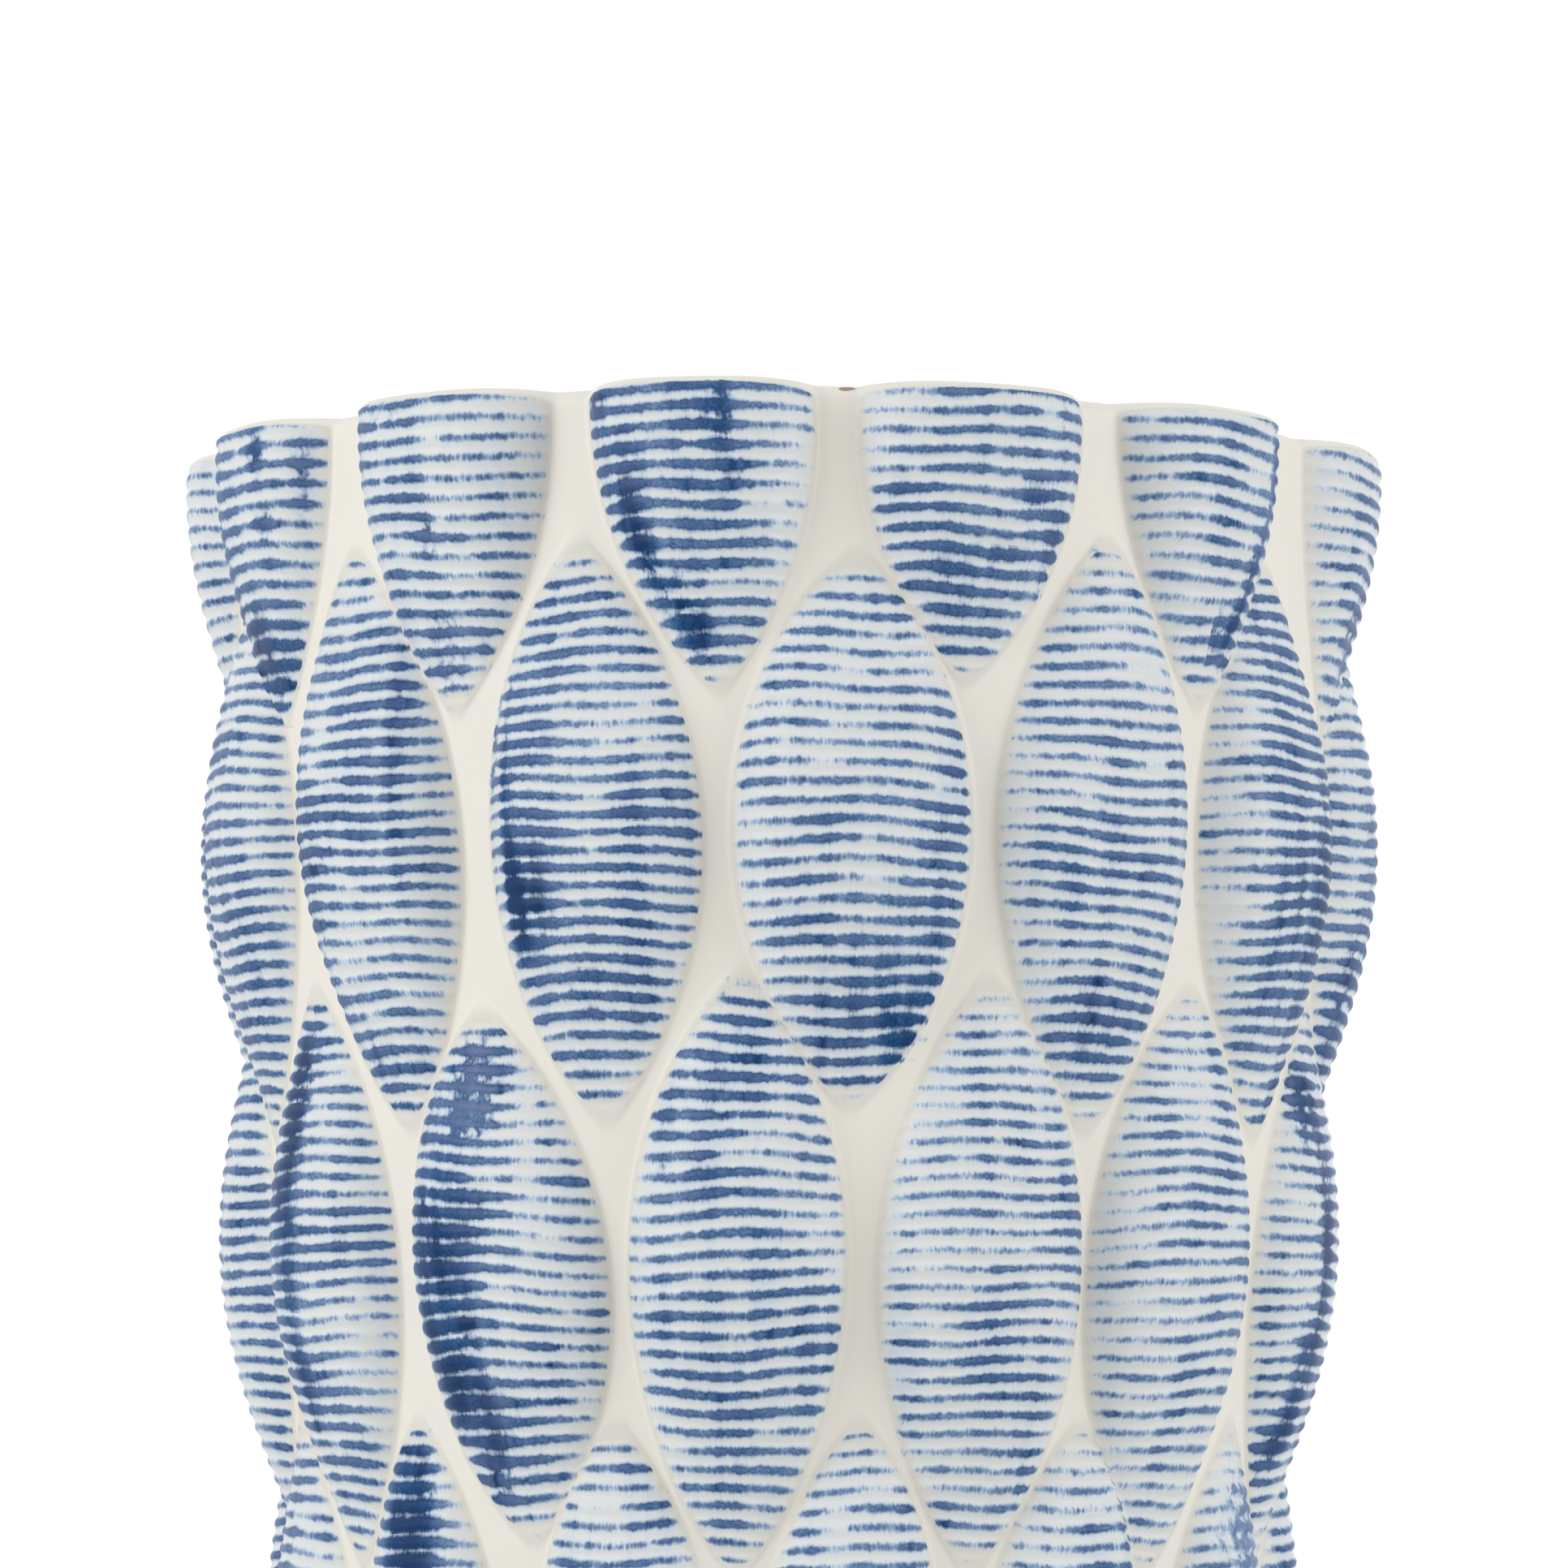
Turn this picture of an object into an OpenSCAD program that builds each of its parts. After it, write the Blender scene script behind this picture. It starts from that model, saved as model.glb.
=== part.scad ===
// Tapered ceramic vase covered in rows of raised leaves.
// The wall is a gently swelling barrel, widest at the rim. Pointed leaves stand on it in rows,
// and each row is turned half a step from the row above it. The rim cuts the first row near its
// widest and the foot cuts the last one, so both of those are rows of half leaves.
// The origin is on the axis, at the level that the vase stands on. The front faces -Y.

/* [Vase] */
// Height from the table to the rim
height = 260; // [200:1:330]
// Outer radius of the bare wall at the rim
rim_r = 88.5; // [72:0.5:110]
// Outer radius of the bare wall at table level
foot_r = 62.5; // [50:0.5:80]
// How far the wall swells past a straight taper, half way up
wall_swell = 6; // [3:0.5:10]
// Thickness of the wall
wall_t = 6; // [4:0.5:9]
// Rounding of the lip's inner edge
lip_round = 2.5; // [1:0.5:3.5]
// Thickness of the floor
floor_t = 8; // [5:0.5:14]

/* [Foot ring] */
// Height of the foot ring
foot_h = 5; // [3:0.5:10]
// Width of the foot ring
foot_w = 8; // [7:0.5:14]
// Step from the wall in to the foot ring
foot_inset = 2.5; // [1:0.5:3.5]
// Rounding of the foot ring's lower edges
foot_round = 1.5; // [0.5:0.25:2.5]

/* [Leaves] */
// Leaves in each row
leaf_count = 14; // [10:1:14]
// How far a leaf's spine stands out from the wall
leaf_rise = 7.4; // [5:0.1:9]
// Height of a leaf's edge above the wall
leaf_edge = 1.2; // [0.6:0.1:2.5]
// Bare wall between two leaves of a row, at their widest
leaf_gap = 4.5; // [2:0.5:9]
// Bare wall between two leaves of the rim, which are narrower
rim_gap = 7; // [3:0.5:12]
// How far below the rim its leaves are widest
rim_drop = 4.5; // [0:0.5:8]
// How far a leaf's tip reaches past the middle between two rows
tip_reach = 8.5; // [5:0.5:11]
// Turn of the vase, from the front to the nearest leaf of the upper row
front_turn = 6.3; // [-13:0.1:13]
// Further turn of the rows below the upper row
low_turn = 1.2; // [-2:0.1:2]

/* [Hidden] */
// Rows whose leaves are single pieces, from the rim down
ROWS = ["rim", "upper", "middle", "lower"];
FOOT_ROW = len(ROWS);

GLAZE = [0.93, 0.92, 0.88];
BLUE_GLAZE = [0.50, 0.60, 0.78];
BARE_CLAY = [0.72, 0.50, 0.38];
$fn = 180;
// Bands that follow the wall's long, shallow arc
WALL_BANDS = 16;
// How far a cutting shape passes the face that it cuts
OVER = 1;

row_pitch = height / FOOT_ROW;
leaf_step = 360 / leaf_count;
middle_r = (rim_r + foot_r) / 2 + wall_swell;

// Centre and radius of the arc through the wall's foot, middle and rim
arc_x = (rim_r ^ 2 - 2 * middle_r ^ 2 + foot_r ^ 2 + height ^ 2 / 2) / (-4 * wall_swell);
arc_z = (middle_r ^ 2 - foot_r ^ 2 - 2 * arc_x * (middle_r - foot_r) + height ^ 2 / 4) / height;
arc_r = norm([foot_r - arc_x, arc_z]);

// Outer radius of the wall at a height, less a depth into the wall
function wall_radius(z, depth = 0) = arc_x + sqrt((arc_r - depth) ^ 2 - (z - arc_z) ^ 2);
// Angle by which the wall leans outward at a height
function wall_lean(z) = asin((arc_z - z) / arc_r);
// Radius of the arc that spans a chord of the given half length and rises by the given amount
function arc_radius(half_chord, rise) = (half_chord ^ 2 + rise ^ 2) / (2 * rise);

function two_digits(n) = str(n < 10 ? "0" : "", n);
function leaf_name(row, i) = str(ROWS[row], "_leaf_", two_digits(i));
// Turn of a row's first leaf. Odd rows start at the front, and the rows between them half a step to its left
function row_turn(row) = front_turn + (row > 1 ? low_turn : 0) - (row % 2 == 0 ? leaf_step / 2 : 0);
function leaf_turn(row, i) = row_turn(row) + leaf_step * (i - 1);

// Half of the vase's section inside a depth from the wall's outer face, between two heights
module wall_section(depth, z_low, z_high) {
    band_h = (height + 2 * OVER) / WALL_BANDS;
    heights = [for (band = [0 : WALL_BANDS]) band * band_h - OVER];
    intersection() {
        polygon(concat(
            [[0, heights[0]]],
            [for (z = heights) [wall_radius(z, depth), z]],
            [[0, heights[WALL_BANDS]]]
        ));
        translate([0, z_low])
            square([rim_r + middle_r, z_high - z_low]);
    }
}

// Cutter that rounds a corner whose solid side lies toward +x and -y
module corner_cut(r) {
    difference() {
        translate([-OVER, -r])
            square([r + OVER, r + OVER]);
        translate([r, -r])
            circle(r = r);
    }
}

module vessel_wall() {
    color(GLAZE)
        rotate_extrude()
            difference() {
                wall_section(0, foot_h, height);
                wall_section(wall_t, 0, height + OVER);
                translate([wall_radius(height, wall_t), height])
                    corner_cut(lip_round);
            }
}

module floor_slab() {
    color(GLAZE)
        rotate_extrude()
            wall_section(wall_t, foot_h, foot_h + floor_t);
}

module foot_ring() {
    outer_r = wall_radius(foot_h) - foot_inset;
    color(BARE_CLAY)
        rotate_extrude()
            difference() {
                translate([outer_r - foot_w, 0])
                    square([foot_w, foot_h]);
                translate([outer_r - foot_w, 0])
                    mirror([0, 1])
                        corner_cut(foot_round);
                translate([outer_r, 0])
                    rotate(180)
                        corner_cut(foot_round);
            }
}

// A leaf's pointed outline, between two equal arcs
module leaf_outline(half_w, half_l) {
    side_r = arc_radius(half_l, half_w);
    intersection_for (side = [-1, 1])
        translate([side * (side_r - half_w), 0])
            circle(r = side_r, $fn = 2 * $fn);
}

// A leaf before it is fitted to the wall. Its middle lies on the wall at the origin, with x
// outward, z up the wall, and the crown formed by a torus that runs along the spine.
module leaf_blank(half_w, half_l, row_r) {
    edge_drop = leaf_rise - leaf_edge;
    tube_r = arc_radius(half_w, edge_drop + half_w ^ 2 / (2 * row_r));
    spine_r = arc_radius(half_l, edge_drop + half_l ^ 2 / (2 * arc_r));
    intersection() {
        translate([-tube_r, 0, 0])
            rotate([90, 0, 90])
                linear_extrude(height = tube_r + leaf_rise + OVER)
                    leaf_outline(half_w, half_l);
        translate([leaf_rise - spine_r, 0, 0])
            rotate([90, 180, 0])
                rotate_extrude()
                    translate([spine_r - tube_r, 0])
                        rotate(180)
                            circle(r = tube_r);
    }
}

// One leaf of a row, cut to the wall behind it and to the rim or the foot. The seams of the
// shapes that form it are turned away from it.
module leaf(row, i) {
    row_z = height - row * row_pitch - (row == 0 ? rim_drop : 0);
    row_r = wall_radius(row_z);
    half_w = (2 * PI * row_r / leaf_count - (row == 0 ? rim_gap : leaf_gap)) / 2;
    half_l = row_pitch / 2 + tip_reach;
    rotate(leaf_turn(row, i) - 90)
        difference() {
            translate([row_r, 0, row_z])
                rotate([0, wall_lean(row_z), 0])
                    leaf_blank(half_w, half_l, row_r);
            rotate(180)
                rotate_extrude()
                    wall_section(0, -OVER, height + OVER);
            if (row == 0)
                translate([0, 0, height])
                    cylinder(r = rim_r + middle_r, h = row_pitch);
            if (row == FOOT_ROW)
                translate([0, 0, foot_h - row_pitch])
                    cylinder(r = rim_r + middle_r, h = row_pitch);
        }
}

module single_leaf(row, i) {
    color(BLUE_GLAZE)
        leaf(row, i);
}

module foot_leaves() {
    color(BLUE_GLAZE)
        for (i = [1 : leaf_count])
            leaf(FOOT_ROW, i);
}

vessel_wall();
floor_slab();
foot_ring();
for (row = [0 : FOOT_ROW - 1], i = [1 : leaf_count])
    single_leaf(row, i);
foot_leaves();
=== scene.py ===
# %% [markdown]
# # A white vase covered in combed leaves
#
# The real vase is glazed earthenware. Its tapered wall carries rows of raised, pointed leaves. A comb has been drawn
# across every leaf while the clay was soft, and cobalt blue was brushed over the ribs that the comb left, so the blue
# sits on the crests and the white glaze stays in the grooves and in the smooth valleys between the leaves.
#
# This lesson loads the exact CAD model first. It gives the sizes, and every piece made here replaces a CAD solid.

# %% Load the CAD model and read the vase's sizes from it
import math

import bpy
import numpy as np
from mathutils import Euler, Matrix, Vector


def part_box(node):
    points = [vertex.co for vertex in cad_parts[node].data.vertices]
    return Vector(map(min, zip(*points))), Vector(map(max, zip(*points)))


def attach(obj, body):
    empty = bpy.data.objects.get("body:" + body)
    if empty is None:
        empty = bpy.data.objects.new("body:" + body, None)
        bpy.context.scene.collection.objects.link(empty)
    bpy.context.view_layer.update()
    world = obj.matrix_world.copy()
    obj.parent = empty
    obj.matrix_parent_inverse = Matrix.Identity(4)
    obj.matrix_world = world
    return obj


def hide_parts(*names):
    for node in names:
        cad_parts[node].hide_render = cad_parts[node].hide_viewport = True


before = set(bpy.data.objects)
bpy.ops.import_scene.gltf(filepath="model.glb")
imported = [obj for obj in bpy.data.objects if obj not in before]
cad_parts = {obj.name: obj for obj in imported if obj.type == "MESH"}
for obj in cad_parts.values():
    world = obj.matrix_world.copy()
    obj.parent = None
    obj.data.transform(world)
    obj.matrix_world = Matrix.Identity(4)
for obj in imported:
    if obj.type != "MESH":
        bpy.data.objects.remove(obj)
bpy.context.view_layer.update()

MM = 0.001
wall_low, wall_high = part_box("vessel_wall")
ring_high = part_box("foot_ring")[1]
slab_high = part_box("floor_slab")[1]
HEIGHT = wall_high.z / MM
RIM_R = wall_high.x / MM
FOOT_Z = wall_low.z / MM
RING_R = ring_high.x / MM
SLAB_TOP = slab_high.z / MM
print(f"height {HEIGHT:.1f} mm, rim radius {RIM_R:.1f} mm, foot ring {FOOT_Z:.1f} mm high")

# %% [markdown]
# ## The camera
#
# The photograph is a close view of the upper part of the vase, from a little under a metre away. The camera stands
# lower than the rim and looks slightly up, so it shows the rim's outer edge and never the inside. A tilt keeps the
# lens shift at zero, which other views of the same scene need.

# %% Set up the camera
IMAGE_PX = 1932
FOCAL_PX = 6905
SENSOR_MM = 36.0
CAMERA_PLACE = (-0.0003, -0.900, 0.121)
# In degrees
CAMERA_TILT = 5.64
CAMERA_ROLL = 0.29

bpy.ops.object.camera_add(location=CAMERA_PLACE)
camera = bpy.context.object
tilted = Euler((math.radians(90 + CAMERA_TILT), 0, 0)).to_matrix()
rolled = Euler((0, 0, math.radians(CAMERA_ROLL))).to_matrix()
camera.rotation_euler = (tilted @ rolled).to_euler()
camera.name = "photo_camera"
camera.data.sensor_width = SENSOR_MM
camera.data.lens = FOCAL_PX / IMAGE_PX * SENSOR_MM
bpy.context.scene.camera = camera
print(f"lens {camera.data.lens:.1f} mm")

# %% [markdown]
# ## The curve of the wall
#
# The bare wall is a shallow arc from the foot to the rim. Everything on the vase is placed by an angle round the axis,
# a height, and a distance out from this arc. Angles start at the front and grow to the right, and lengths are in
# millimetres until the points are handed to Blender, which works in metres.

# %% The wall's arc, as in the CAD model
TABLE_R = 62.5
WALL_SWELL = 6.0
WALL_T = 6.0
LIP_R = 2.0
# How much higher the rim is at the sides, its small waves, and how far down the vase both are felt
RIM_SWAY = 0.5
RIM_WAVE = 0.12
SWAY_REACH = 45.0

middle_r = (RIM_R + TABLE_R) / 2 + WALL_SWELL
ARC_X = (RIM_R**2 - 2 * middle_r**2 + TABLE_R**2 + HEIGHT**2 / 2) / (-4 * WALL_SWELL)
ARC_Z = (middle_r**2 - TABLE_R**2 - 2 * ARC_X * (middle_r - TABLE_R) + HEIGHT**2 / 4) / HEIGHT
ARC_R = math.hypot(TABLE_R - ARC_X, ARC_Z)


def wall_radius(z, depth=0.0):
    """Radius of the bare wall's outer face at a height, less a depth into the wall."""
    return ARC_X + np.sqrt((ARC_R - depth) ** 2 - (z - ARC_Z) ** 2)


def smooth_step(value, low, high):
    """0 below low, 1 above high and a smooth rise between them."""
    share = np.clip((value - low) / (high - low), 0, 1)
    return share * share * (3 - 2 * share)


def rim_sway(angle, z):
    """The rim of a hand-made vase isn't quite level."""
    wave = RIM_SWAY * np.sin(angle) ** 2 + RIM_WAVE * np.sin(5 * angle + 2.0)
    return wave * smooth_step(z, HEIGHT - SWAY_REACH, HEIGHT)


def to_space(angle, radius, z):
    """Places round the axis as points in metres."""
    lifted = z + rim_sway(angle, z)
    return np.stack([radius * np.sin(angle), -radius * np.cos(angle), lifted], axis=-1) * MM


radii = [round(float(wall_radius(share * HEIGHT)), 1) for share in (0, 0.5, 1)]
print(f"wall radius at the table, half way up and at the rim: {radii} mm")

# %% [markdown]
# ## The rows of leaves
#
# There are fourteen leaves to a row. Each row is turned half a step from its neighbours, so a leaf's tip reaches down
# between two leaves of the next row. Copies of one perfect leaf would look machine-made, so heights, widths and leans
# vary by a few hundredths, and the leaves of the front are set as the photograph shows them.

# %% Where the leaves are, and how they differ
ROWS = ["rim", "upper", "middle", "lower", "foot"]
FOOT_ROW = len(ROWS) - 1
LEAVES = 14
EVERY_LEAF = (len(ROWS), LEAVES)
LEAF_STEP = 2 * math.pi / LEAVES
ROW_PITCH = HEIGHT / FOOT_ROW
FRONT_TURN = math.radians(6.3)
ROW_TURN = np.radians([0.0, 0.2, 1.8, 1.4, 1.2])
# How far below the rim its leaves are widest
RIM_DROP = 4.5
# Turns from their even places, in degrees: the rim's leaves in order, and single leaves by row and number
RIM_NUDGE = [-1.7, -1.2, 0.0, 4.4, 3.4, 2.5, 1.5, 0.6, -0.5, -1.5, -2.4, -3.4, -4.3, -2.3]
NUDGE = {(0, number): turn for number, turn in enumerate(RIM_NUDGE, start=1)}
NUDGE.update({(1, 3): -0.6, (2, 3): -1.6, (2, 14): 0.4})
# Leaves whose width, length or lean differs most
WIDE = {
    (0, 2): 1.08, (0, 3): 1.06, (0, 14): 1.08,
    (1, 1): 1.05, (1, 3): 1.05, (1, 13): 0.98, (1, 14): 0.96,
    (2, 3): 1.07, (2, 14): 1.06,
}
LONG = {(0, 1): 0.97, (0, 2): 0.92, (0, 3): 0.94, (1, 1): 0.92, (1, 14): 0.98, (2, 14): 0.89}
LEAN = {(0, 1): -0.065, (1, 3): -0.05, (1, 13): -0.10, (1, 14): -0.04, (2, 14): -0.055}
RISE_SPREAD, WIDTH_SPREAD, LEAN_SPREAD = 0.03, 0.012, 0.012

chance = np.random.default_rng(14)
rise_share = 1 + RISE_SPREAD * chance.standard_normal(EVERY_LEAF)
width_share = 1 + WIDTH_SPREAD * chance.standard_normal(EVERY_LEAF)
lean = LEAN_SPREAD * chance.standard_normal(EVERY_LEAF)
for (row, number), amount in LEAN.items():
    lean[row, number - 1] = amount


def leaf_angle(row, number):
    even_place = FRONT_TURN + LEAF_STEP * (number - 1 - (0.5 if row % 2 == 0 else 0))
    return even_place + ROW_TURN[row] + math.radians(NUDGE.get((row, number), 0))


def leaf_middle(row):
    return HEIGHT - row * ROW_PITCH - (RIM_DROP if row == 0 else 0)


print(f"{LEAVES} leaves to a row, {LEAF_STEP * RIM_R:.1f} mm apart at the rim; rows {ROW_PITCH:.1f} mm apart")

# %% [markdown]
# ## The pillow of one leaf
#
# A leaf is a pillow: highest along its spine, dropping to the wall at a pointed outline. It could be sculpted, but a
# formula gives the height of every leaf at any place on the wall, which the valleys between the leaves need. The height
# along the spine less the fall to the sides is the pillow's height, and the outline is where the two are equal.

# %% The height of a leaf at any place on the wall
# For each row: how far its leaves stand out, half their length, how fast they taper, and their share of full width
ROW_RISE = [8.6, 8.1, 7.6, 7.6, 7.4]
ROW_HALF = [42.0, 43.4, 43.4, 43.4, 43.4]
ROW_TAPER = [0.82, 0.75, 0.75, 0.75, 0.75]
ROW_WIDTH = [0.92, 1.0, 1.0, 1.0, 1.0]
# The bare wall between two leaves, how suddenly a leaf falls to its sides, how blunt its tips are and how flat
VALLEY_W = 4.1
EDGE_POWER = 3.3
TIP_SOFTNESS = 0.13
TIP_FALL = 0.5
# Slow and quick shifts of a place by the hand
DRIFT = 0.30
FINE_DRIFT = 0.20


def turn_between(angle, start):
    """The shorter way round from start to angle."""
    return (angle - start + math.pi) % (2 * math.pi) - math.pi


def hand_drift(angle, z):
    """Small shifts of a place on the wall, as a hand leaves them."""
    sideways = DRIFT * np.sin(5 * angle + z / 17 + 0.6) + FINE_DRIFT * np.sin(11 * angle - z / 29)
    upward = DRIFT * np.sin(4 * angle - z / 21 + 1.9) + FINE_DRIFT * np.sin(9 * angle + z / 13)
    return angle + sideways / RIM_R, z + upward


def leaf_place(row, number, angle, z):
    """Distances across and along a leaf from its middle, in mm."""
    angle, z = hand_drift(angle, z)
    along = z - leaf_middle(row)
    across = turn_between(angle, leaf_angle(row, number)) * wall_radius(z)
    return across - lean[row, number - 1] * along, along


def leaf_spine(row, number, along):
    """Height along a leaf's spine, as a share: 1 in the middle, 0 at the tips and less beyond them."""
    return 1 - (along / (ROW_HALF[row] * LONG.get((row, number), 1))) ** 2


def leaf_height(row, number, angle, z):
    """How far the pillow of one leaf stands out from the wall. It is below zero outside the leaf."""
    across, along = leaf_place(row, number, angle, z)
    half_width = (LEAF_STEP * wall_radius(z) - VALLEY_W) / 2
    half_width = half_width * ROW_WIDTH[row] * WIDE.get((row, number), width_share[row, number - 1])
    spine = leaf_spine(row, number, along)
    taper = (spine + np.sqrt(spine**2 + TIP_SOFTNESS**2)) / 2
    side = (np.abs(across) / half_width) ** EDGE_POWER * taper ** (1 - ROW_TAPER[row] * EDGE_POWER)
    return ROW_RISE[row] * rise_share[row, number - 1] * (spine - side)


def pressed_height(row, number, angle, z):
    """The height of a leaf's pillow after its tips have been pressed flatter."""
    height = leaf_height(row, number, angle, z)
    spine = leaf_spine(row, number, leaf_place(row, number, angle, z)[1])
    return np.where(height > 0, height * np.clip(spine, 0, 1) ** TIP_FALL, height)


front_rise = float(pressed_height(1, 1, leaf_angle(1, 1), leaf_middle(1)))
print(f"the front leaf of the upper row stands out {front_rise:.1f} mm at its middle")

# %% [markdown]
# ## Valleys
#
# Soft clay and thick glaze round off every inner corner, so a leaf flows into the wall and into its neighbours. Adding
# the exponentials of all the heights and taking the logarithm gives one smooth surface with such rounded valleys. All
# leaves share it, so the pieces meet without a step although each is a mesh of its own.

# %% One smooth surface over the leaves and the wall
VALLEY_SHARPNESS = 2.4
# How far below the wall a leaf's pillow may sink before its own ground ends
MARGIN = 2.8


def leaves_around(row, number):
    """The leaves near a leaf: two beside it, and four each in the rows above and below."""
    diagonal = range(number - 2, number + 2) if row % 2 == 0 else range(number - 1, number + 3)
    found = [(row, number - 1), (row, number + 1)]
    for other in (row - 1, row + 1):
        if 0 <= other <= FOOT_ROW:
            found += [(other, near) for near in diagonal]
    return [(other, (near - 1) % LEAVES + 1) for other, near in found]


def blended_height(heights):
    """Height of the smooth surface over some leaves and the bare wall."""
    return np.log1p(sum(np.exp(VALLEY_SHARPNESS * h) for h in heights)) / VALLEY_SHARPNESS


def lead_over_rest(row, number, angle, z):
    """Above zero where this leaf stands higher than its neighbours and its thin margin."""
    own = leaf_height(row, number, angle, z)
    rest = np.full(np.shape(own), -MARGIN)
    for other in leaves_around(row, number):
        rest = np.maximum(rest, leaf_height(*other, angle, z))
    return own - rest


print(f"a leaf of the upper row has {len(leaves_around(1, 1))} leaves near it")

# %% [markdown]
# ## The ground of each leaf
#
# Every leaf's mesh has to end where the next one starts. A Boolean cut would leave ragged rows of faces, so the border
# is worked out first: a leaf's own ground is where it stands higher than all its neighbours, and its ends and sides are
# found by walking outward from its ridge until its lead is lost.

# %% Find the ends and sides of a leaf's ground
RIDGE_STEPS = 121
END_STEPS = 260
SIDE_STEPS = 170
# How far to walk, in shares of half a leaf's length and of the step between leaves
END_REACH = 1.3
SIDE_REACH = 0.8


def first_fall(lead, places):
    """Along each line of places, the first one where the lead falls to zero."""
    lines = np.arange(len(lead))
    after = np.maximum((lead < 0).argmax(axis=1), 1)
    before = after - 1
    drop = np.maximum(lead[lines, before] - lead[lines, after], 1e-9)
    share = np.clip(lead[lines, before] / drop, 0, 1)
    return places[lines, before] + share * (places[lines, after] - places[lines, before])


def leaf_ridge(row, number, z):
    """At some heights, the angle where a leaf leads the rest by most, and that lead."""
    angle = leaf_angle(row, number) + np.linspace(-0.5, 0.5, RIDGE_STEPS)[None, :] * LEAF_STEP
    lead = lead_over_rest(row, number, np.broadcast_to(angle, (len(z), RIDGE_STEPS)), z[:, None])
    best = lead.argmax(axis=1)
    return angle[0, best], lead.max(axis=1)


def leaf_ends(row, number):
    """Heights of the lowest and highest points of a leaf's own ground."""
    reach = np.linspace(0, END_REACH * ROW_HALF[row], END_STEPS)
    ends = []
    for way in (-1, 1):
        z = leaf_middle(row) + way * reach
        _, lead = leaf_ridge(row, number, z)
        ends.append(float(first_fall(lead[None, :], z[None, :])[0]))
    return ends


def leaf_sides(row, number, z):
    """Angles of a leaf's left and right borders, at some heights."""
    ridge, _ = leaf_ridge(row, number, z)
    sides = []
    for way in (-1, 1):
        angle = ridge[:, None] + way * np.linspace(0, SIDE_REACH * LEAF_STEP, SIDE_STEPS)[None, :]
        sides.append(first_fall(lead_over_rest(row, number, angle, z[:, None]), angle))
    return sides


low, high = leaf_ends(1, 1)
print(f"the front leaf of the upper row reaches from {low:.1f} to {high:.1f} mm above the table")

# %% [markdown]
# ## Blanks for the leaves
#
# A leaf is cut from a flat blank, as a potter would cut a slip of clay: a fine grid whose border is extruded back for
# thickness. The back needs no detail, because it is luted to the wall, so one strip of long faces bridges it. Two
# blanks are enough, a long one for whole leaves and a short one for the half leaves at the rim and the foot. The border
# is marked sharp, so the shading of the face stays smooth right to the edge.

# %% Make the two blanks
COLUMNS = 50
LONG_ROWS = 264
SHORT_ROWS = 124


def start_fresh():
    """Leaves edit mode and deselects everything, because operators act on all that is selected."""
    if bpy.context.mode != "OBJECT":
        bpy.ops.object.mode_set(mode="OBJECT")
    bpy.ops.object.select_all(action="DESELECT")


def select_edges(mesh_object, wanted):
    """Selects the edges whose two ends both pass a test, and leaves the object in edit mode."""
    bpy.ops.object.mode_set(mode="EDIT")
    bpy.ops.mesh.select_mode(type="EDGE")
    bpy.ops.mesh.select_all(action="DESELECT")
    bpy.ops.object.mode_set(mode="OBJECT")
    points = mesh_object.data.vertices
    for edge in mesh_object.data.edges:
        edge.select = all(wanted(points[end].co) for end in edge.vertices)
    bpy.ops.object.mode_set(mode="EDIT")


def leaf_blank(name, rows):
    start_fresh()
    bpy.ops.mesh.primitive_grid_add(x_subdivisions=COLUMNS, y_subdivisions=rows, size=2)
    blank = bpy.context.object
    blank.name = name
    bpy.ops.object.mode_set(mode="EDIT")
    bpy.ops.mesh.select_mode(type="EDGE")
    bpy.ops.mesh.select_all(action="SELECT")
    bpy.ops.mesh.region_to_loop()
    bpy.ops.mesh.mark_sharp()
    bpy.ops.mesh.extrude_region_move(TRANSFORM_OT_translate={"value": (0, 0, -1)})
    select_edges(blank, lambda point: point.z < -0.5 and abs(point.x) > 0.999)
    bpy.ops.mesh.bridge_edge_loops()
    bpy.ops.mesh.select_all(action="SELECT")
    bpy.ops.mesh.fill_holes(sides=0)
    bpy.ops.mesh.select_all(action="SELECT")
    bpy.ops.mesh.normals_make_consistent(inside=False)
    bpy.ops.mesh.faces_shade_smooth()
    bpy.ops.object.mode_set(mode="OBJECT")
    print(f"{name}: {len(blank.data.vertices)} points, {len(blank.data.polygons)} faces")
    return blank


long_blank = leaf_blank("whole_leaf_blank", LONG_ROWS)
short_blank = leaf_blank("half_leaf_blank", SHORT_ROWS)

# %% [markdown]
# ## The comb
#
# The comb leaves about thirty level ribs on a whole leaf. They are real geometry here, a fifth of a millimetre high.
# The hand that drew the comb tilted and waved it a little. The same count of ribs is stored later as a UV coordinate,
# so the paint follows the crests wherever they wander.

# %% The ribs of a leaf
ROW_RIB_PITCH = np.array([2.85, 2.72, 2.72, 2.72, 2.72])
RIB_HEIGHT = 0.19
# How much the comb's tilt and its spacing differ from leaf to leaf, and how far its lines wave
RIB_TILT_SPREAD = np.radians(0.8)
RIB_PITCH_SPREAD = 0.015
RIB_WAVE = 0.32
FINE_RIB_WAVE = 0.20
rib_tilt = RIB_TILT_SPREAD * chance.standard_normal(EVERY_LEAF)
rib_pitch = ROW_RIB_PITCH[:, None] * (1 + RIB_PITCH_SPREAD * chance.standard_normal(EVERY_LEAF))
rib_start = chance.random(EVERY_LEAF)
leaf_seed = chance.random(EVERY_LEAF)


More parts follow.
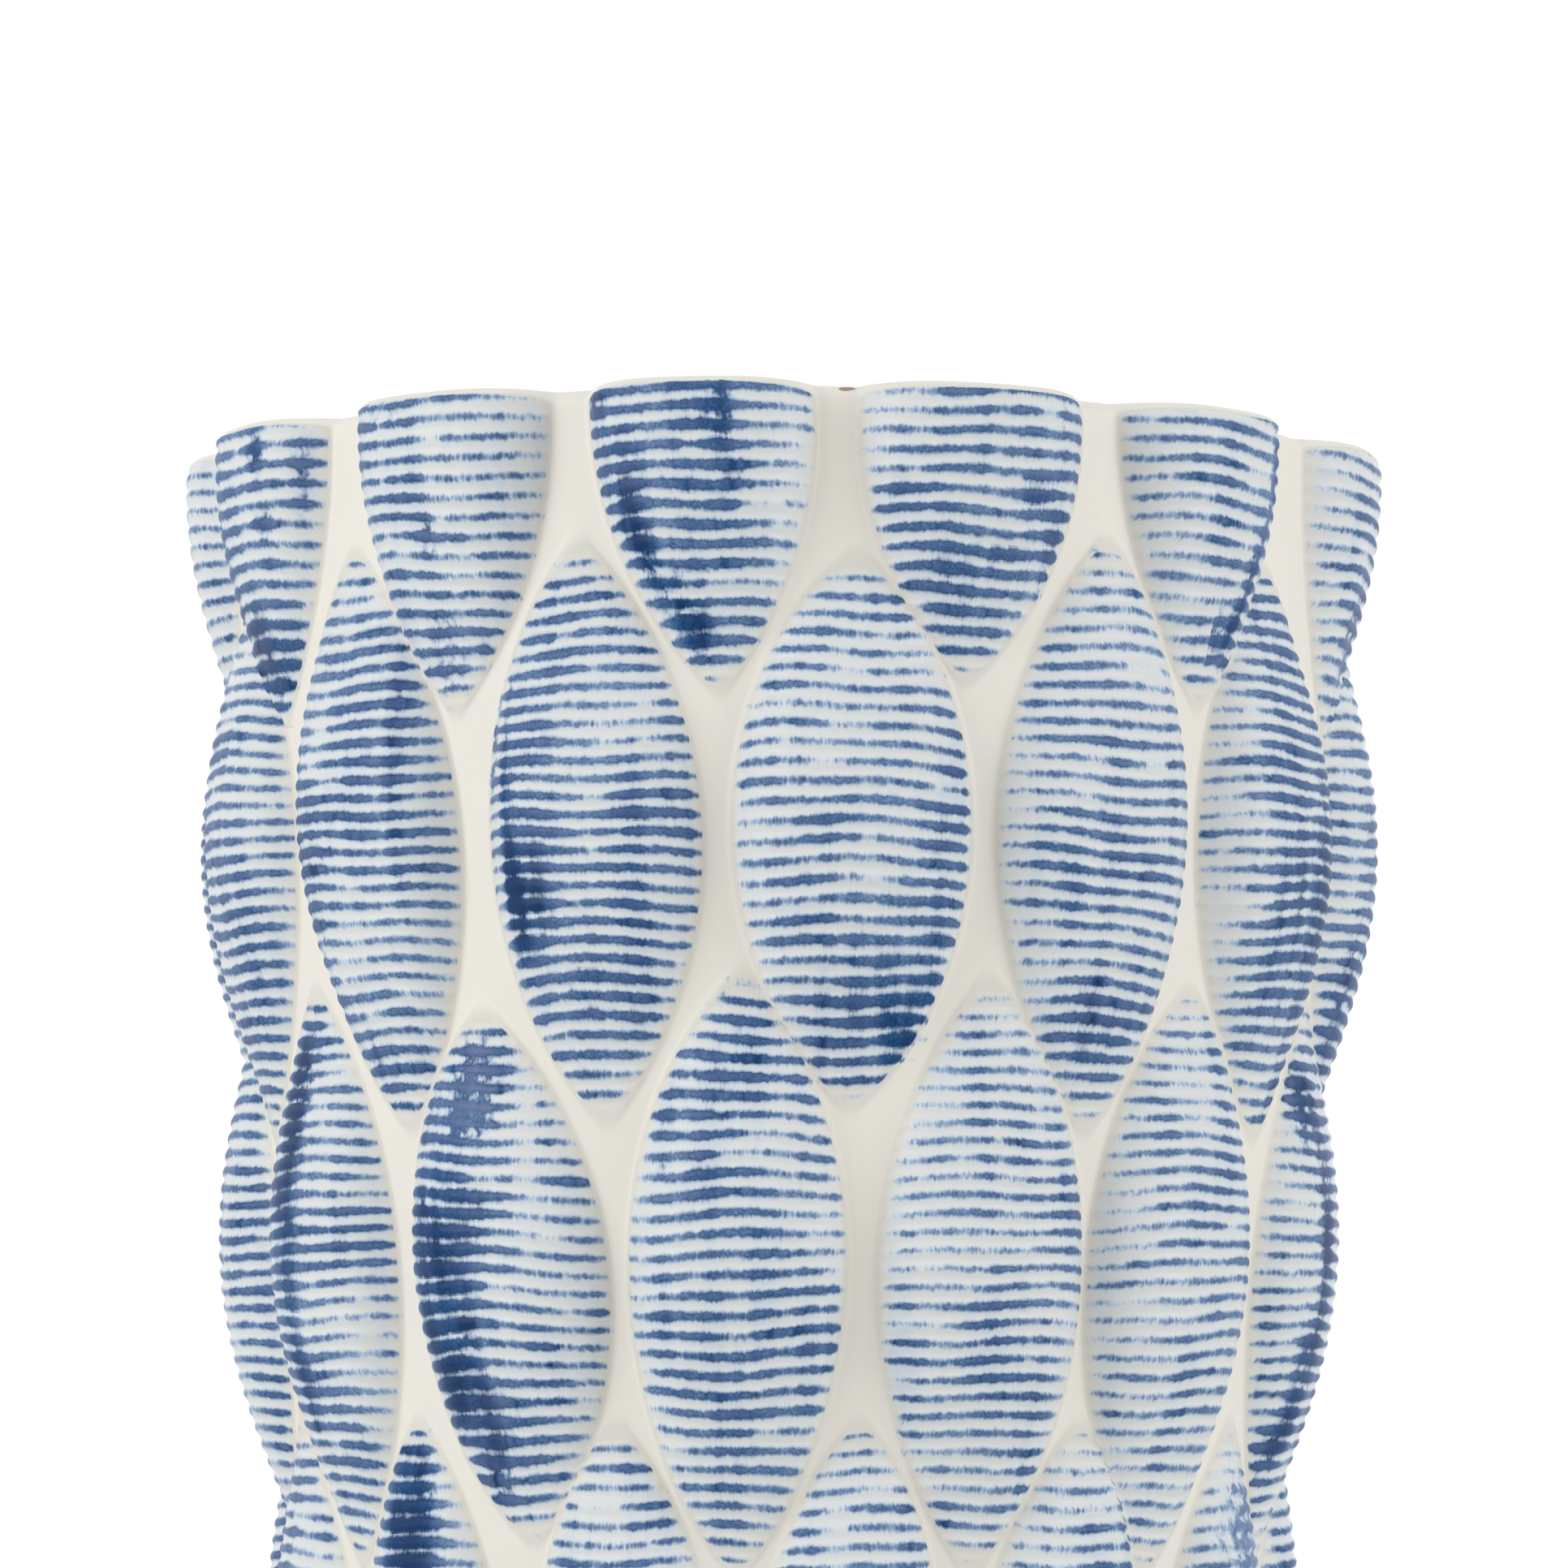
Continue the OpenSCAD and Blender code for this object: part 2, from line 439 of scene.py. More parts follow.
def rib_count(row, number, across, along):
    """Which rib a place is on. Whole numbers are crests."""
    tilt = rib_tilt[row, number - 1]
    phase = 2 * math.pi * leaf_seed[row, number - 1]
    drawn = along * math.cos(tilt) + across * math.sin(tilt)
    waved = RIB_WAVE * np.sin(across / 6.5 + along / 11 + phase)
    waved = waved + FINE_RIB_WAVE * np.sin(across / 3.1 - along / 7 + 2 * phase)
    return (drawn + waved) / rib_pitch[row, number - 1] + rib_start[row, number - 1]


print(f"{2 * ROW_HALF[1] / ROW_RIB_PITCH[1]:.0f} ribs on a whole leaf")

# %% [markdown]
# ## The load of the brush
#
# The brush was loaded unevenly, so each leaf has a general load of blue. It could be painted on in texture paint, but
# one number for a leaf is quick to change. Leaves that the photograph shows have the load that is seen there, and the
# others get one by chance.

# %% Brush loads
LOAD, LOAD_SPREAD = 0.43, 0.06
# The front's leaves from left to right, and their loads in the rows from the rim down
FRONT_LEAVES = [12, 13, 14, 1, 2, 3, 4]
FRONT_LOADS = [
    [0.28, 0.49, 0.36, 0.53, 0.48, 0.44, 0.40],
    [0.47, 0.45, 0.45, 0.41, 0.435, 0.56, 0.54],
    [0.46, 0.44, 0.45, 0.415, 0.40, 0.38, 0.44],
    [0.46, 0.48, 0.35, 0.42, 0.34, 0.34, 0.42],
]
brush_load = LOAD + LOAD_SPREAD * chance.standard_normal(EVERY_LEAF)
for row, loads in enumerate(FRONT_LOADS):
    for number, load in zip(FRONT_LEAVES, loads):
        brush_load[row, number - 1] = load
print(f"brush loads from {brush_load.min():.2f} to {brush_load.max():.2f}")

# %% [markdown]
# ## Heavier dabs
#
# On top of its general load a leaf has a few dabs. A dab has a place and a reach in shares of the leaf's half width and
# half length, a strength, which may be below zero where the brush was lifted, and how far it fills the grooves as well.
# Dabs on "left" or "right" follow that side of the leaf's outline.

# %% Dabs of blue
# Place across or a side, place along, reach across, reach along, strength, fill
DABS = {
    "rim_leaf_01": [
        (0.22, 0, 0.18, 0.16, 0.22, 0.5), (-0.85, 0.06, 0.18, 0.1, 0.3, 0.44),
        (0, -0.2, 0.45, 0.4, 0.1, 0), (-0.6, -0.36, 0.12, 0.16, 0.3, 0.5),
        (-0.46, -0.5, 0.13, 0.14, 0.32, 0.52), (-0.3, -0.64, 0.15, 0.14, 0.34, 0.54),
        (-0.15, -0.76, 0.17, 0.12, 0.34, 0.56), (0.75, -0.15, 0.4, 0.55, -0.17, 0),
        (-0.4, -0.9, 0.2, 0.1, 0.1, 0.42),
    ],
    "rim_leaf_02": [
        (0.45, -0.28, 0.2, 0.07, 0.25, 0.48), (0.1, -0.52, 0.6, 0.22, 0.18, 0),
        (-0.75, 0.03, 0.35, 0.18, -0.16, 0), (0.65, 0.02, 0.25, 0.12, 0.1, 0.32),
        (0.62, -0.5, 0.1, 0.14, 0.15, 0.44),
    ],
    "rim_leaf_03": [
        ("right", -0.36, 0.1, 0.7, 0.3, 0.66), (0.3, -0.75, 0.14, 0.2, 0.25, 0.47),
        (-0.6, -0.1, 0.4, 0.3, -0.08, 0), (0.55, -0.25, 0.3, 0.4, 0.12, 0),
    ],
    "rim_leaf_04": [
        (-0.05, -0.58, 0.28, 0.24, 0.3, 0.52), (-0.6, -0.3, 0.3, 0.5, -0.1, 0),
        (0.5, -0.1, 0.3, 0.4, 0.1, 0.25),
    ],
    "rim_leaf_12": [(-0.3, -0.5, 0.5, 0.3, 0.1, 0.2)],
    "rim_leaf_13": [
        (-0.6, -0.3, 0.32, 0.65, 0.36, 0.28), (0.4, -0.02, 0.16, 0.08, 0.3, 0.6),
        (0.42, -0.28, 0.18, 0.06, 0.28, 0.58), (0.1, -0.7, 0.45, 0.25, 0.3, 0.38),
        (0.8, -0.1, 0.1, 0.2, 0.15, 0.46), (0.8, -0.2, 0.35, 0.4, -0.16, 0),
    ],
    "rim_leaf_14": [
        (-0.8, -0.05, 0.22, 0.35, 0.26, 0.34), (0.05, -0.4, 0.12, 0.14, 0.15, 0.46),
        (-0.35, 0, 0.05, 0.3, -0.3, 0), (0.1, -0.78, 0.4, 0.2, 0.22, 0.36),
        (-0.4, 0.05, 0.5, 0.1, 0.12, 0.3), (0.55, -0.15, 0.4, 0.35, -0.08, 0),
    ],
    "upper_leaf_14": [
        (-0.72, 0.3, 0.08, 0.28, 0.24, 0.52), (-0.66, -0.02, 0.08, 0.28, 0.26, 0.54),
        (-0.6, -0.3, 0.14, 0.2, 0.3, 0.54), (-0.45, -0.28, 0.28, 0.22, 0.2, 0.3),
        (-0.92, 0.2, 0.12, 0.4, 0.16, 0.36), (-0.45, 0, 0.5, 0.7, 0.12, 0),
        (-0.3, -0.06, 0.3, 0.12, 0.1, 0.36), (0.55, 0.1, 0.4, 0.3, 0.1, 0.05),
        (0.1, 0.62, 0.45, 0.24, 0.16, 0),
    ],
    "upper_leaf_13": [
        (-0.7, -0.05, 0.45, 0.8, 0.26, 0.22), (-0.3, -0.75, 0.5, 0.2, 0.16, 0.1),
        (0, 0.75, 0.5, 0.25, 0.15, 0),
    ],
    "upper_leaf_12": [(-0.3, 0.45, 0.6, 0.2, 0.25, 0.25), (0.2, 0, 0.4, 0.3, 0.1, 0.1)],
    "upper_leaf_01": [
        (0.5, -0.5, 0.6, 0.5, 0.36, 0.2), (0.55, -0.72, 0.3, 0.22, 0.28, 0.44),
        (0.1, 0.75, 0.4, 0.2, 0.06, 0),
    ],
    "upper_leaf_02": [
        (0, -0.68, 0.5, 0.22, 0.18, 0.05), (-0.1, 0.08, 0.35, 0.12, 0.14, 0.08),
        (-0.95, 0, 0.3, 0.8, -0.1, 0),
    ],
    "upper_leaf_03": [
        (0.2, -0.35, 0.6, 0.4, 0.18, 0.12), (0.4, -0.05, 0.4, 0.3, 0.22, 0.05),
        (-0.95, 0, 0.35, 0.8, -0.08, 0),
    ],
    "upper_leaf_04": [(0, -0.3, 0.6, 0.5, 0.12, 0.1), ("left", -0.45, 0.2, 0.3, 0.12, 0.42)],
    "middle_leaf_12": [(0, 0.3, 0.5, 0.4, 0.08, 0.1)],
    "middle_leaf_13": [
        (-0.18, 0.1, 0.28, 0.8, 0.42, 0.34), (-0.08, 0.66, 0.28, 0.22, 0.3, 0.5),
        (0.5, 0, 0.3, 0.5, -0.02, 0), (0.2, -0.5, 0.4, 0.3, 0.15, 0.2),
    ],
    "middle_leaf_14": [
        (-0.1, 0.58, 0.36, 0.18, 0.02, 0.72), (-0.05, 0.72, 0.22, 0.12, 0.02, 0.68),
        (-0.45, 0.05, 0.5, 0.75, 0.35, 0.12), (-0.7, 0.22, 0.16, 0.16, 0.12, 0.5),
        (-0.4, 0.02, 0.12, 0.2, 0.1, 0.52), (-0.72, -0.14, 0.14, 0.14, 0.16, 0.5),
        (-0.2, -0.26, 0.16, 0.14, 0.14, 0.54), (-0.5, -0.38, 0.16, 0.16, 0.16, 0.52),
        (-0.1, -0.48, 0.16, 0.14, 0.18, 0.56), (-0.2, -0.66, 0.18, 0.12, 0.18, 0.54),
        (0.62, 0.05, 0.45, 0.6, -0.13, 0),
    ],
    "middle_leaf_01": [
        (-0.45, 0.38, 0.35, 0.32, 0.06, 0.2), (0, -0.6, 0.8, 0.3, 0.1, 0.05),
        (-0.1, 0.8, 0.4, 0.2, 0.1, 0.16),
    ],
    "middle_leaf_02": [(-0.95, 0, 0.3, 0.8, -0.08, 0), (0.8, 0.3, 0.2, 0.4, 0.12, 0.2)],
    "middle_leaf_03": [(-0.95, 0, 0.3, 0.8, -0.05, 0), (0.5, -0.2, 0.4, 0.5, 0.08, 0)],
    "middle_leaf_04": [
        (-0.42, 0.62, 0.25, 0.16, 0.35, 0.6), (-0.15, 0.3, 0.22, 0.28, 0.4, 0.54),
        (-0.12, 0, 0.22, 0.25, 0.4, 0.54), (-0.25, -0.3, 0.3, 0.25, 0.4, 0.56),
        (-0.4, -0.55, 0.25, 0.16, 0.35, 0.54),
    ],
    "lower_leaf_13": [(0, 0.66, 0.5, 0.32, 0.45, 0.45)],
    "lower_leaf_14": [(0, 0.7, 0.4, 0.2, -0.04, 0)],
    "lower_leaf_01": [(0.2, 0.6, 0.4, 0.2, 0.06, 0)],
    "lower_leaf_02": [(0, 0.7, 0.4, 0.2, -0.02, 0)],
    "lower_leaf_03": [(0.1, 0.62, 0.6, 0.25, -0.15, 0.54)],
}


def piece_name(row, number):
    return f"{ROWS[row]}_leaf_{number:02d}"


# Leaves that the photograph doesn't show get a broad dab and a small, wetter one each
BROAD_FILL = 0.15
painter = np.random.default_rng(5)
for row in range(len(ROWS)):
    for number in range(1, LEAVES + 1):
        broad = painter.uniform((-0.7, -0.7, 0.3, 0.3, 0.05), (0.7, 0.5, 0.6, 0.7, 0.32))
        wetter = painter.uniform((-0.8, -0.6, 0.08, 0.10, 0.10, 0.30), (0.6, 0.6, 0.20, 0.30, 0.30, 0.56))
        DABS.setdefault(piece_name(row, number), [(*broad, BROAD_FILL), wetter])
print(f"{sum(map(len, DABS.values()))} dabs on {len(DABS)} leaves")

# %% [markdown]
# ## Blue at any place of a leaf
#
# Loads and dabs are turned into two numbers for each point of a leaf: how much blue the brush left there, and how far
# it fills the grooves. The material reads both from the mesh, so they stay in place in every view.

# %% Load and fill
# Half widths are counted from a leaf's visible edge, a little inside its outline
PAINTED_SHARE = 0.94
# The brush left less on the left side of a leaf, between these shares of its half width
LEFT_FADE = 0.10
LEFT_BAND = (0.45, 1.0)
# A dab ends at this multiple of its reach, and fades over the second number
DAB_END, DAB_FADE = 1.4, 1.1
# Height, as a share of the spine's, at which a dab follows a side
EDGE_BAND = 0.80
# The spine's height falls to nothing at the tips, and shares of it are taken of no less than this
LEAST_SPINE = 0.08
# Out of reach of everything
FAR = 9.0


def brushed(row, number, across, along, relief):
    """Load of blue on a leaf, and how far it fills the grooves."""
    share_x = across / (PAINTED_SHARE * (LEAF_STEP * wall_radius(leaf_middle(row)) - VALLEY_W) / 2)
    share_z = along / ROW_HALF[row]
    load = np.full(np.shape(across), brush_load[row, number - 1])
    load -= LEFT_FADE * smooth_step(-share_x, *LEFT_BAND)
    fill = np.zeros(np.shape(across))
    for x, z, reach_x, reach_z, strength, filled in DABS[piece_name(row, number)]:
        if x in ("left", "right"):
            slope = relief / (ROW_RISE[row] * np.maximum(1 - share_z**2, LEAST_SPINE))
            sideways = np.where((across > 0) == (x == "right"), (slope - EDGE_BAND) / reach_x, FAR)
        else:
            sideways = (share_x - x) / reach_x
        near = smooth_step(DAB_END - np.hypot(sideways, (share_z - z) / reach_z), 0, DAB_FADE)
        load = load + strength * near
        fill = np.maximum(fill, filled * near)
    return load, fill


print(f"a dab is full to {DAB_END - DAB_FADE:.1f} of its reach and ends at {DAB_END:.1f}")

# %% [markdown]
# ## Pressing a blank onto the wall
#
# A copy of a blank is laid on the vase by moving its points: the blank's width is spread between the leaf's two borders
# and its length between the two ends. Half leaves go on over the lip, round a small curve and inward along its flat
# top, and the foot's half leaves do the same downward. Points that were extruded back are sunk into the wall.

# %% The rows of a blank on the wall
LIP_ROWS = 8
FLAT_ROWS = 2


def rows_up_the_leaf(row, number, count):
    """For each row of a blank: height on the wall, turn over the lip and share of the flat top."""
    low, high = leaf_ends(row, number)
    z = np.linspace(low, high, count + 1)
    over, inward = np.zeros(count + 1), np.zeros(count + 1)
    if row in (0, FOOT_ROW):
        on_wall = count - LIP_ROWS - FLAT_ROWS
        start, end = (low, HEIGHT - LIP_R) if row == 0 else (high, FOOT_Z + LIP_R)
        z[: on_wall + 1] = np.linspace(start, end, on_wall + 1)
        z[on_wall:] = end
        over[on_wall : on_wall + LIP_ROWS + 1] = np.linspace(0, math.pi / 2, LIP_ROWS + 1)
        over[on_wall + LIP_ROWS :] = math.pi / 2
        inward[on_wall + LIP_ROWS :] = np.linspace(0, 1, FLAT_ROWS + 1)
    return z, over, inward


rim_rows = rows_up_the_leaf(0, 1, SHORT_ROWS)[0]
print(f"the rows of a rim leaf's blank go from {rim_rows[0]:.1f} to {rim_rows[-1]:.1f} mm, and on over the lip")

# %% [markdown]
# ## Finishing a leaf's mesh
#
# The comb's coordinates and the brush loads have to travel with the mesh. A UV map suits the first and point attributes
# the second. Where the borders meet in a tip, the rows of points fall together and are merged.

# %% Store values on a mesh and close its tips
MERGE_WITHIN = 0.002 * MM


def store_on_mesh(mesh, comb, **values):
    """Keeps the comb's coordinates as a UV map and other values as attributes of the points."""
    corner = np.empty(len(mesh.loops), dtype=np.int32)
    mesh.loops.foreach_get("vertex_index", corner)
    mesh.uv_layers.new(name="comb").data.foreach_set("uv", comb[corner].ravel())
    for name, value in values.items():
        mesh.attributes.new(name, "FLOAT", "POINT").data.foreach_set("value", value.astype(np.float32))


def close_tips(leaf):
    """Merges the rows of points that came together in a leaf's tips."""
    start_fresh()
    leaf.select_set(True)
    bpy.context.view_layer.objects.active = leaf
    bpy.ops.object.mode_set(mode="EDIT")
    bpy.ops.mesh.select_all(action="SELECT")
    bpy.ops.mesh.remove_doubles(threshold=MERGE_WITHIN)
    bpy.ops.mesh.delete_loose()
    bpy.ops.object.mode_set(mode="OBJECT")


print(f"points within {MERGE_WITHIN / MM:.3f} mm are merged")

# %% [markdown]
# ## Every single leaf
#
# Moving all points at once with NumPy takes a moment for each leaf, and a modifier couldn't know the neighbours. The
# columns of the blank are drawn toward its borders, where the surface turns most.

# %% Press the leaves of the first four rows
# How deep a leaf's back is sunk into the wall, and how far the columns are drawn toward the borders
SKIN = 1.2
COLUMN_SPREAD = 1.3
# Distances from the rim's top between which the lip is wiped bare, and the relief that stands for bare glaze
BARE_LIP = (0.35, 2.2)
BARE_RELIEF = -2.0
# Heights of a leaf between which the ribs begin
RIBBED = (0.35, 1.0)


def press_leaf(row, number):
    """Copies a blank, lays it on the wall and gives it its name, UV map and brush loads."""
    half = row in (0, FOOT_ROW)
    way = -1 if row == FOOT_ROW else 1
    blank, rows = (short_blank, SHORT_ROWS) if half else (long_blank, LONG_ROWS)
    mesh = blank.data.copy()
    flat = np.empty(len(mesh.vertices) * 3)
    mesh.vertices.foreach_get("co", flat)
    flat = flat.reshape(-1, 3)
    step = np.rint((flat[:, 1] + 1) / 2 * rows).astype(int)
    column = np.sin(COLUMN_SPREAD * flat[:, 0]) / math.sin(COLUMN_SPREAD) * way
    buried = flat[:, 2] < -0.5

    row_z, row_over, row_inward = rows_up_the_leaf(row, number, rows)
    left, right = leaf_sides(row, number, row_z)
    z, over, inward = row_z[step], row_over[step], row_inward[step]
    angle = ((1 - column) * left[step] + (1 + column) * right[step]) / 2

    own = leaf_height(row, number, angle, z)
    pressed = [pressed_height(*leaf, angle, z) for leaf in [(row, number), *leaves_around(row, number)]]
    across, along = leaf_place(row, number, angle, z)
    along = along + way * LIP_R * over
    below_lip = np.where(over > 0, LIP_R * (1 - np.sin(over)), LIP_R + np.abs(z - row_z[-1])) if half else FAR
    wiped = 1 - smooth_step(below_lip, *BARE_LIP)
    relief = own * (1 - wiped) + BARE_RELIEF * wiped
    ribs = rib_count(row, number, across, along)
    combed = RIB_HEIGHT * np.cos(2 * math.pi * ribs) * smooth_step(relief, *RIBBED)
    height = np.where(buried, 0, blended_height(pressed) + combed)
    depth = np.where(buried, SKIN, 0)

    radius = wall_radius(z) + height - LIP_R * (1 - np.cos(over)) - depth * np.cos(over) - inward * height
    points = to_space(angle, radius, z + way * (LIP_R - depth) * np.sin(over))
    mesh.vertices.foreach_set("co", points.ravel())
    load, fill = brushed(row, number, across, along, relief)
    store_on_mesh(mesh, np.stack([across, ribs], axis=1), relief=relief, load=load, fill=fill,
                  seed=np.full(len(z), leaf_seed[row, number - 1]))
    leaf = bpy.data.objects.new(f"combed_{piece_name(row, number)}", mesh)
    bpy.context.collection.objects.link(leaf)
    close_tips(leaf)
    return leaf


leaves = {}
for row in range(FOOT_ROW):
    for number in range(1, LEAVES + 1):
        leaves[piece_name(row, number)] = press_leaf(row, number)
print(f"pressed {len(leaves)} leaves, {sum(len(leaf.data.polygons) for leaf in leaves.values())} faces")

# %% [markdown]
# ## The foot's half leaves
#
# The last row is cut by the foot. Its fourteen half leaves are one node in the CAD model, so they are pressed one by
# one and then joined into one piece.

# %% Press and join the foot's leaves
foot_row = [press_leaf(FOOT_ROW, number) for number in range(1, LEAVES + 1)]
start_fresh()
for leaf in foot_row:
    leaf.select_set(True)
bpy.context.view_layer.objects.active = foot_row[0]
bpy.ops.object.join()
leaves["foot_leaves"] = foot_row[0]
leaves["foot_leaves"].name = "combed_foot_leaves"
for blank in (long_blank, short_blank):
    bpy.data.objects.remove(blank)
print(f"foot leaves: {len(leaves['foot_leaves'].data.polygons)} faces")

# %% [markdown]
# ## Turning on the wheel
#
# The wall, the floor and the foot ring were turned on a wheel, so they are turned here as well: a ring of points is put
# on the outline of the section and spun round the axis. A Screw modifier would do the same, but the spin tool leaves
# a plain mesh, whose seam can be merged and whose rim can be swayed.

# %% Helpers that turn a piece
TURN_STEPS = 256
SHARP_FROM = math.radians(40)


def arc(centre_r, centre_z, size, start, end, count):
    """Points of a rounded corner, angles in degrees from outward."""
    turns = np.radians(np.linspace(start, end, count))
    return [(centre_r + size * math.cos(t), centre_z + size * math.sin(t)) for t in turns]


def turned_piece(name, outline):
    """Spins a closed outline of (radius, height) points, in mm, round the axis."""
    start_fresh()
    bpy.ops.mesh.primitive_circle_add(vertices=len(outline), radius=1)
    piece = bpy.context.object
    piece.name = name
    for point, (radius, z) in zip(piece.data.vertices, outline):
        point.co = (0, -radius * MM, z * MM)
    bpy.ops.object.mode_set(mode="EDIT")
    bpy.ops.mesh.select_all(action="SELECT")
    bpy.ops.mesh.spin(steps=TURN_STEPS, angle=2 * math.pi, center=(0, 0, 0), axis=(0, 0, 1))
    bpy.ops.mesh.select_all(action="SELECT")
    bpy.ops.mesh.remove_doubles(threshold=MERGE_WITHIN)
    bpy.ops.mesh.delete_loose()
    bpy.ops.mesh.select_all(action="SELECT")
    bpy.ops.mesh.normals_make_consistent(inside=False)
    bpy.ops.object.mode_set(mode="OBJECT")
    bpy.ops.object.shade_smooth_by_angle(angle=SHARP_FROM)
    print(f"{name}: {len(piece.data.polygons)} faces")
    return piece


print(f"pieces are turned in {TURN_STEPS} steps")

# %% [markdown]
# ## The wall
#
# Between the leaves the wall shows as the ground of the valleys. Fingers leave faint rings on the inside of a thrown
# wall, so the inner outline waves a little. Lip and lower edge are rounded, and the rim sways with the leaves.

# %% Turn the wall
INNER_LIP_R = 2.5
FINGER_PITCH = 9.5
FINGER_DEPTH = 0.22
# The finger rings fade in above the floor and out toward the lip, and leave the lip clear
FINGERS_FADE = 25
LIP_CLEAR = 4
OUTER_POINTS = 60
INNER_POINTS = 150


def sway_with_rim(piece):
    """Gives a turned piece the same uneven rim as the leaves."""
    for point in piece.data.vertices:
        point.co.z += MM * float(rim_sway(math.atan2(point.co.x, -point.co.y), point.co.z / MM))


def inner_radius(z):
    """The thrown inside of the wall, with its finger rings."""
    fade = smooth_step(z, SLAB_TOP, SLAB_TOP + FINGERS_FADE) * smooth_step(HEIGHT - z, LIP_CLEAR, FINGERS_FADE)
    return wall_radius(z, WALL_T) + FINGER_DEPTH * fade * np.sin(2 * math.pi * z / FINGER_PITCH)


lip_z = HEIGHT - LIP_R
inner_lip_z = HEIGHT - INNER_LIP_R
edge_z = FOOT_Z + LIP_R
wall_outline = arc(wall_radius(edge_z) - LIP_R, edge_z, LIP_R, -90, 0, 9)
wall_outline += [(float(wall_radius(z)), z) for z in np.linspace(edge_z + 0.5, lip_z, OUTER_POINTS)]
wall_outline += arc(wall_radius(lip_z) - LIP_R, lip_z, LIP_R, 8, 90, 9)
wall_outline += arc(inner_radius(inner_lip_z) + INNER_LIP_R, inner_lip_z, INNER_LIP_R, 90, 180, 10)
wall_outline += [(float(inner_radius(z)), z) for z in np.linspace(inner_lip_z - 1.5, FOOT_Z, INNER_POINTS)]
wall = turned_piece("glazed_wall", wall_outline)
sway_with_rim(wall)

# %% [markdown]
# ## The floor
#
# The floor closes the bottom. It is dished a little, and the clay is thickened in a fillet where it meets the wall.

# %% Turn the floor
FLOOR_FILLET = 7.0
FLOOR_DISH = 0.8
# How far inside the wall the dish starts
DISH_INSET = 9
slab_r = float(wall_radius(FOOT_Z, WALL_T))
fillet_top = SLAB_TOP + FLOOR_FILLET
fillet_r = float(wall_radius(fillet_top, WALL_T))
dish = np.linspace(fillet_r - DISH_INSET, 0, 12)
floor_outline = [(0, FOOT_Z), (slab_r * 0.5, FOOT_Z), (slab_r, FOOT_Z)]
floor_outline += [(float(wall_radius(z, WALL_T)), z) for z in np.linspace(SLAB_TOP, fillet_top, 6)]
floor_outline += arc(fillet_r - FLOOR_FILLET, fillet_top, FLOOR_FILLET, 0, -90, 14)[1:]
floor_outline += [(r, SLAB_TOP - FLOOR_DISH * (1 - (r / fillet_r) ** 2)) for r in dish]
floor = turned_piece("glazed_floor", floor_outline)

# %% [markdown]
# ## The foot ring
#
# The vase stands on a turned ring. Its edges are rounded, and the turning tool left shallow grooves in its underside.

# %% Turn the foot ring
RING_W = 8.0
RING_ROUND = 1.5
GROOVE_DEPTH = 0.12
GROOVE_INSET = 2
ring_in = RING_R - RING_W
underside = np.linspace(ring_in + GROOVE_INSET, RING_R - GROOVE_INSET, 9)
ring_outline = arc(ring_in + RING_ROUND, RING_ROUND, RING_ROUND, 180, 270, 8)
ring_outline += [(r, GROOVE_DEPTH * (1 + math.cos(3 * math.pi * (r - ring_in) / RING_W))) for r in underside]
ring_outline += arc(RING_R - RING_ROUND, RING_ROUND, RING_ROUND, -90, 0, 8)
ring_outline += [(RING_R, FOOT_Z), (ring_in, FOOT_Z)]
ring = turned_piece("turned_foot_ring", ring_outline)

# %% [markdown]
# ## Colours and a way to wire nodes
#
# A material here is a sum of simple patterns. To keep that readable, a small class lets the value of a node be added,
# multiplied and stepped like a number, and places the Math nodes by itself. Colours are written as they look on a
# screen, from 0 to 255, and changed to the linear values that the renderer works with.

# %% Colours, nodes and wires


def colour(red, green, blue):
    """A screen colour as a linear one."""
    def linear(level):
        share = level / 255
        return share / 12.92 if share <= 0.04045 else ((share + 0.055) / 1.055) ** 2.4
    return (linear(red), linear(green), linear(blue), 1)


def put(tree, kind, sockets=None, **settings):
    """Adds a node, with its settings and the wires or constants that go into its sockets."""
    made = tree.nodes.new(kind)
    for name, value in settings.items():
        setattr(made, name, value)
    for name, value in (sockets or {}).items():
        if isinstance(value, Wire):
            tree.links.new(value.socket, made.inputs[name])
        else:
            made.inputs[name].default_value = value
    return made


class Wire:
    """A value on its way through a node tree."""

    def __init__(self, tree, socket):
        self.tree = tree
        self.socket = socket

    def maths(self, operation, *others):
        values = dict(enumerate((self, *others)))
        return Wire(self.tree, put(self.tree, "ShaderNodeMath", values, operation=operation).outputs[0])

    def __add__(self, other):
        return self.maths("ADD", other)

    def __sub__(self, other):
        return self.maths("SUBTRACT", other)

    def __mul__(self, other):
        return self.maths("MULTIPLY", other)

    __radd__ = __add__
    __rmul__ = __mul__

    def __truediv__(self, other):
        return self.maths("DIVIDE", other)

    def __rsub__(self, other):
        return self * -1 + other

    def step(self, low, high):
        """A smooth rise from 0 at low to 1 at high."""
        node = put(self.tree, "ShaderNodeMapRange", {"Value": self, "From Min": low, "From Max": high},
                   interpolation_type="SMOOTHSTEP")
        return Wire(self.tree, node.outputs["Result"])


print("a screen grey of 128 is", round(colour(128, 128, 128)[0], 3), "as a linear value")

# %% [markdown]
# ## Patterns and blends
#
# Three building blocks do most of the work: a cloudy noise, a blend of two colours by a share, and a ramp that picks
# a colour by a value. The noise takes a place made of three wires, so it can be stretched along a rib or down a leaf.

# %% Noise, blends and ramps
# Noise lies round a half and seldom strays far, so it is spread by this much
NOISE_GAIN = 8


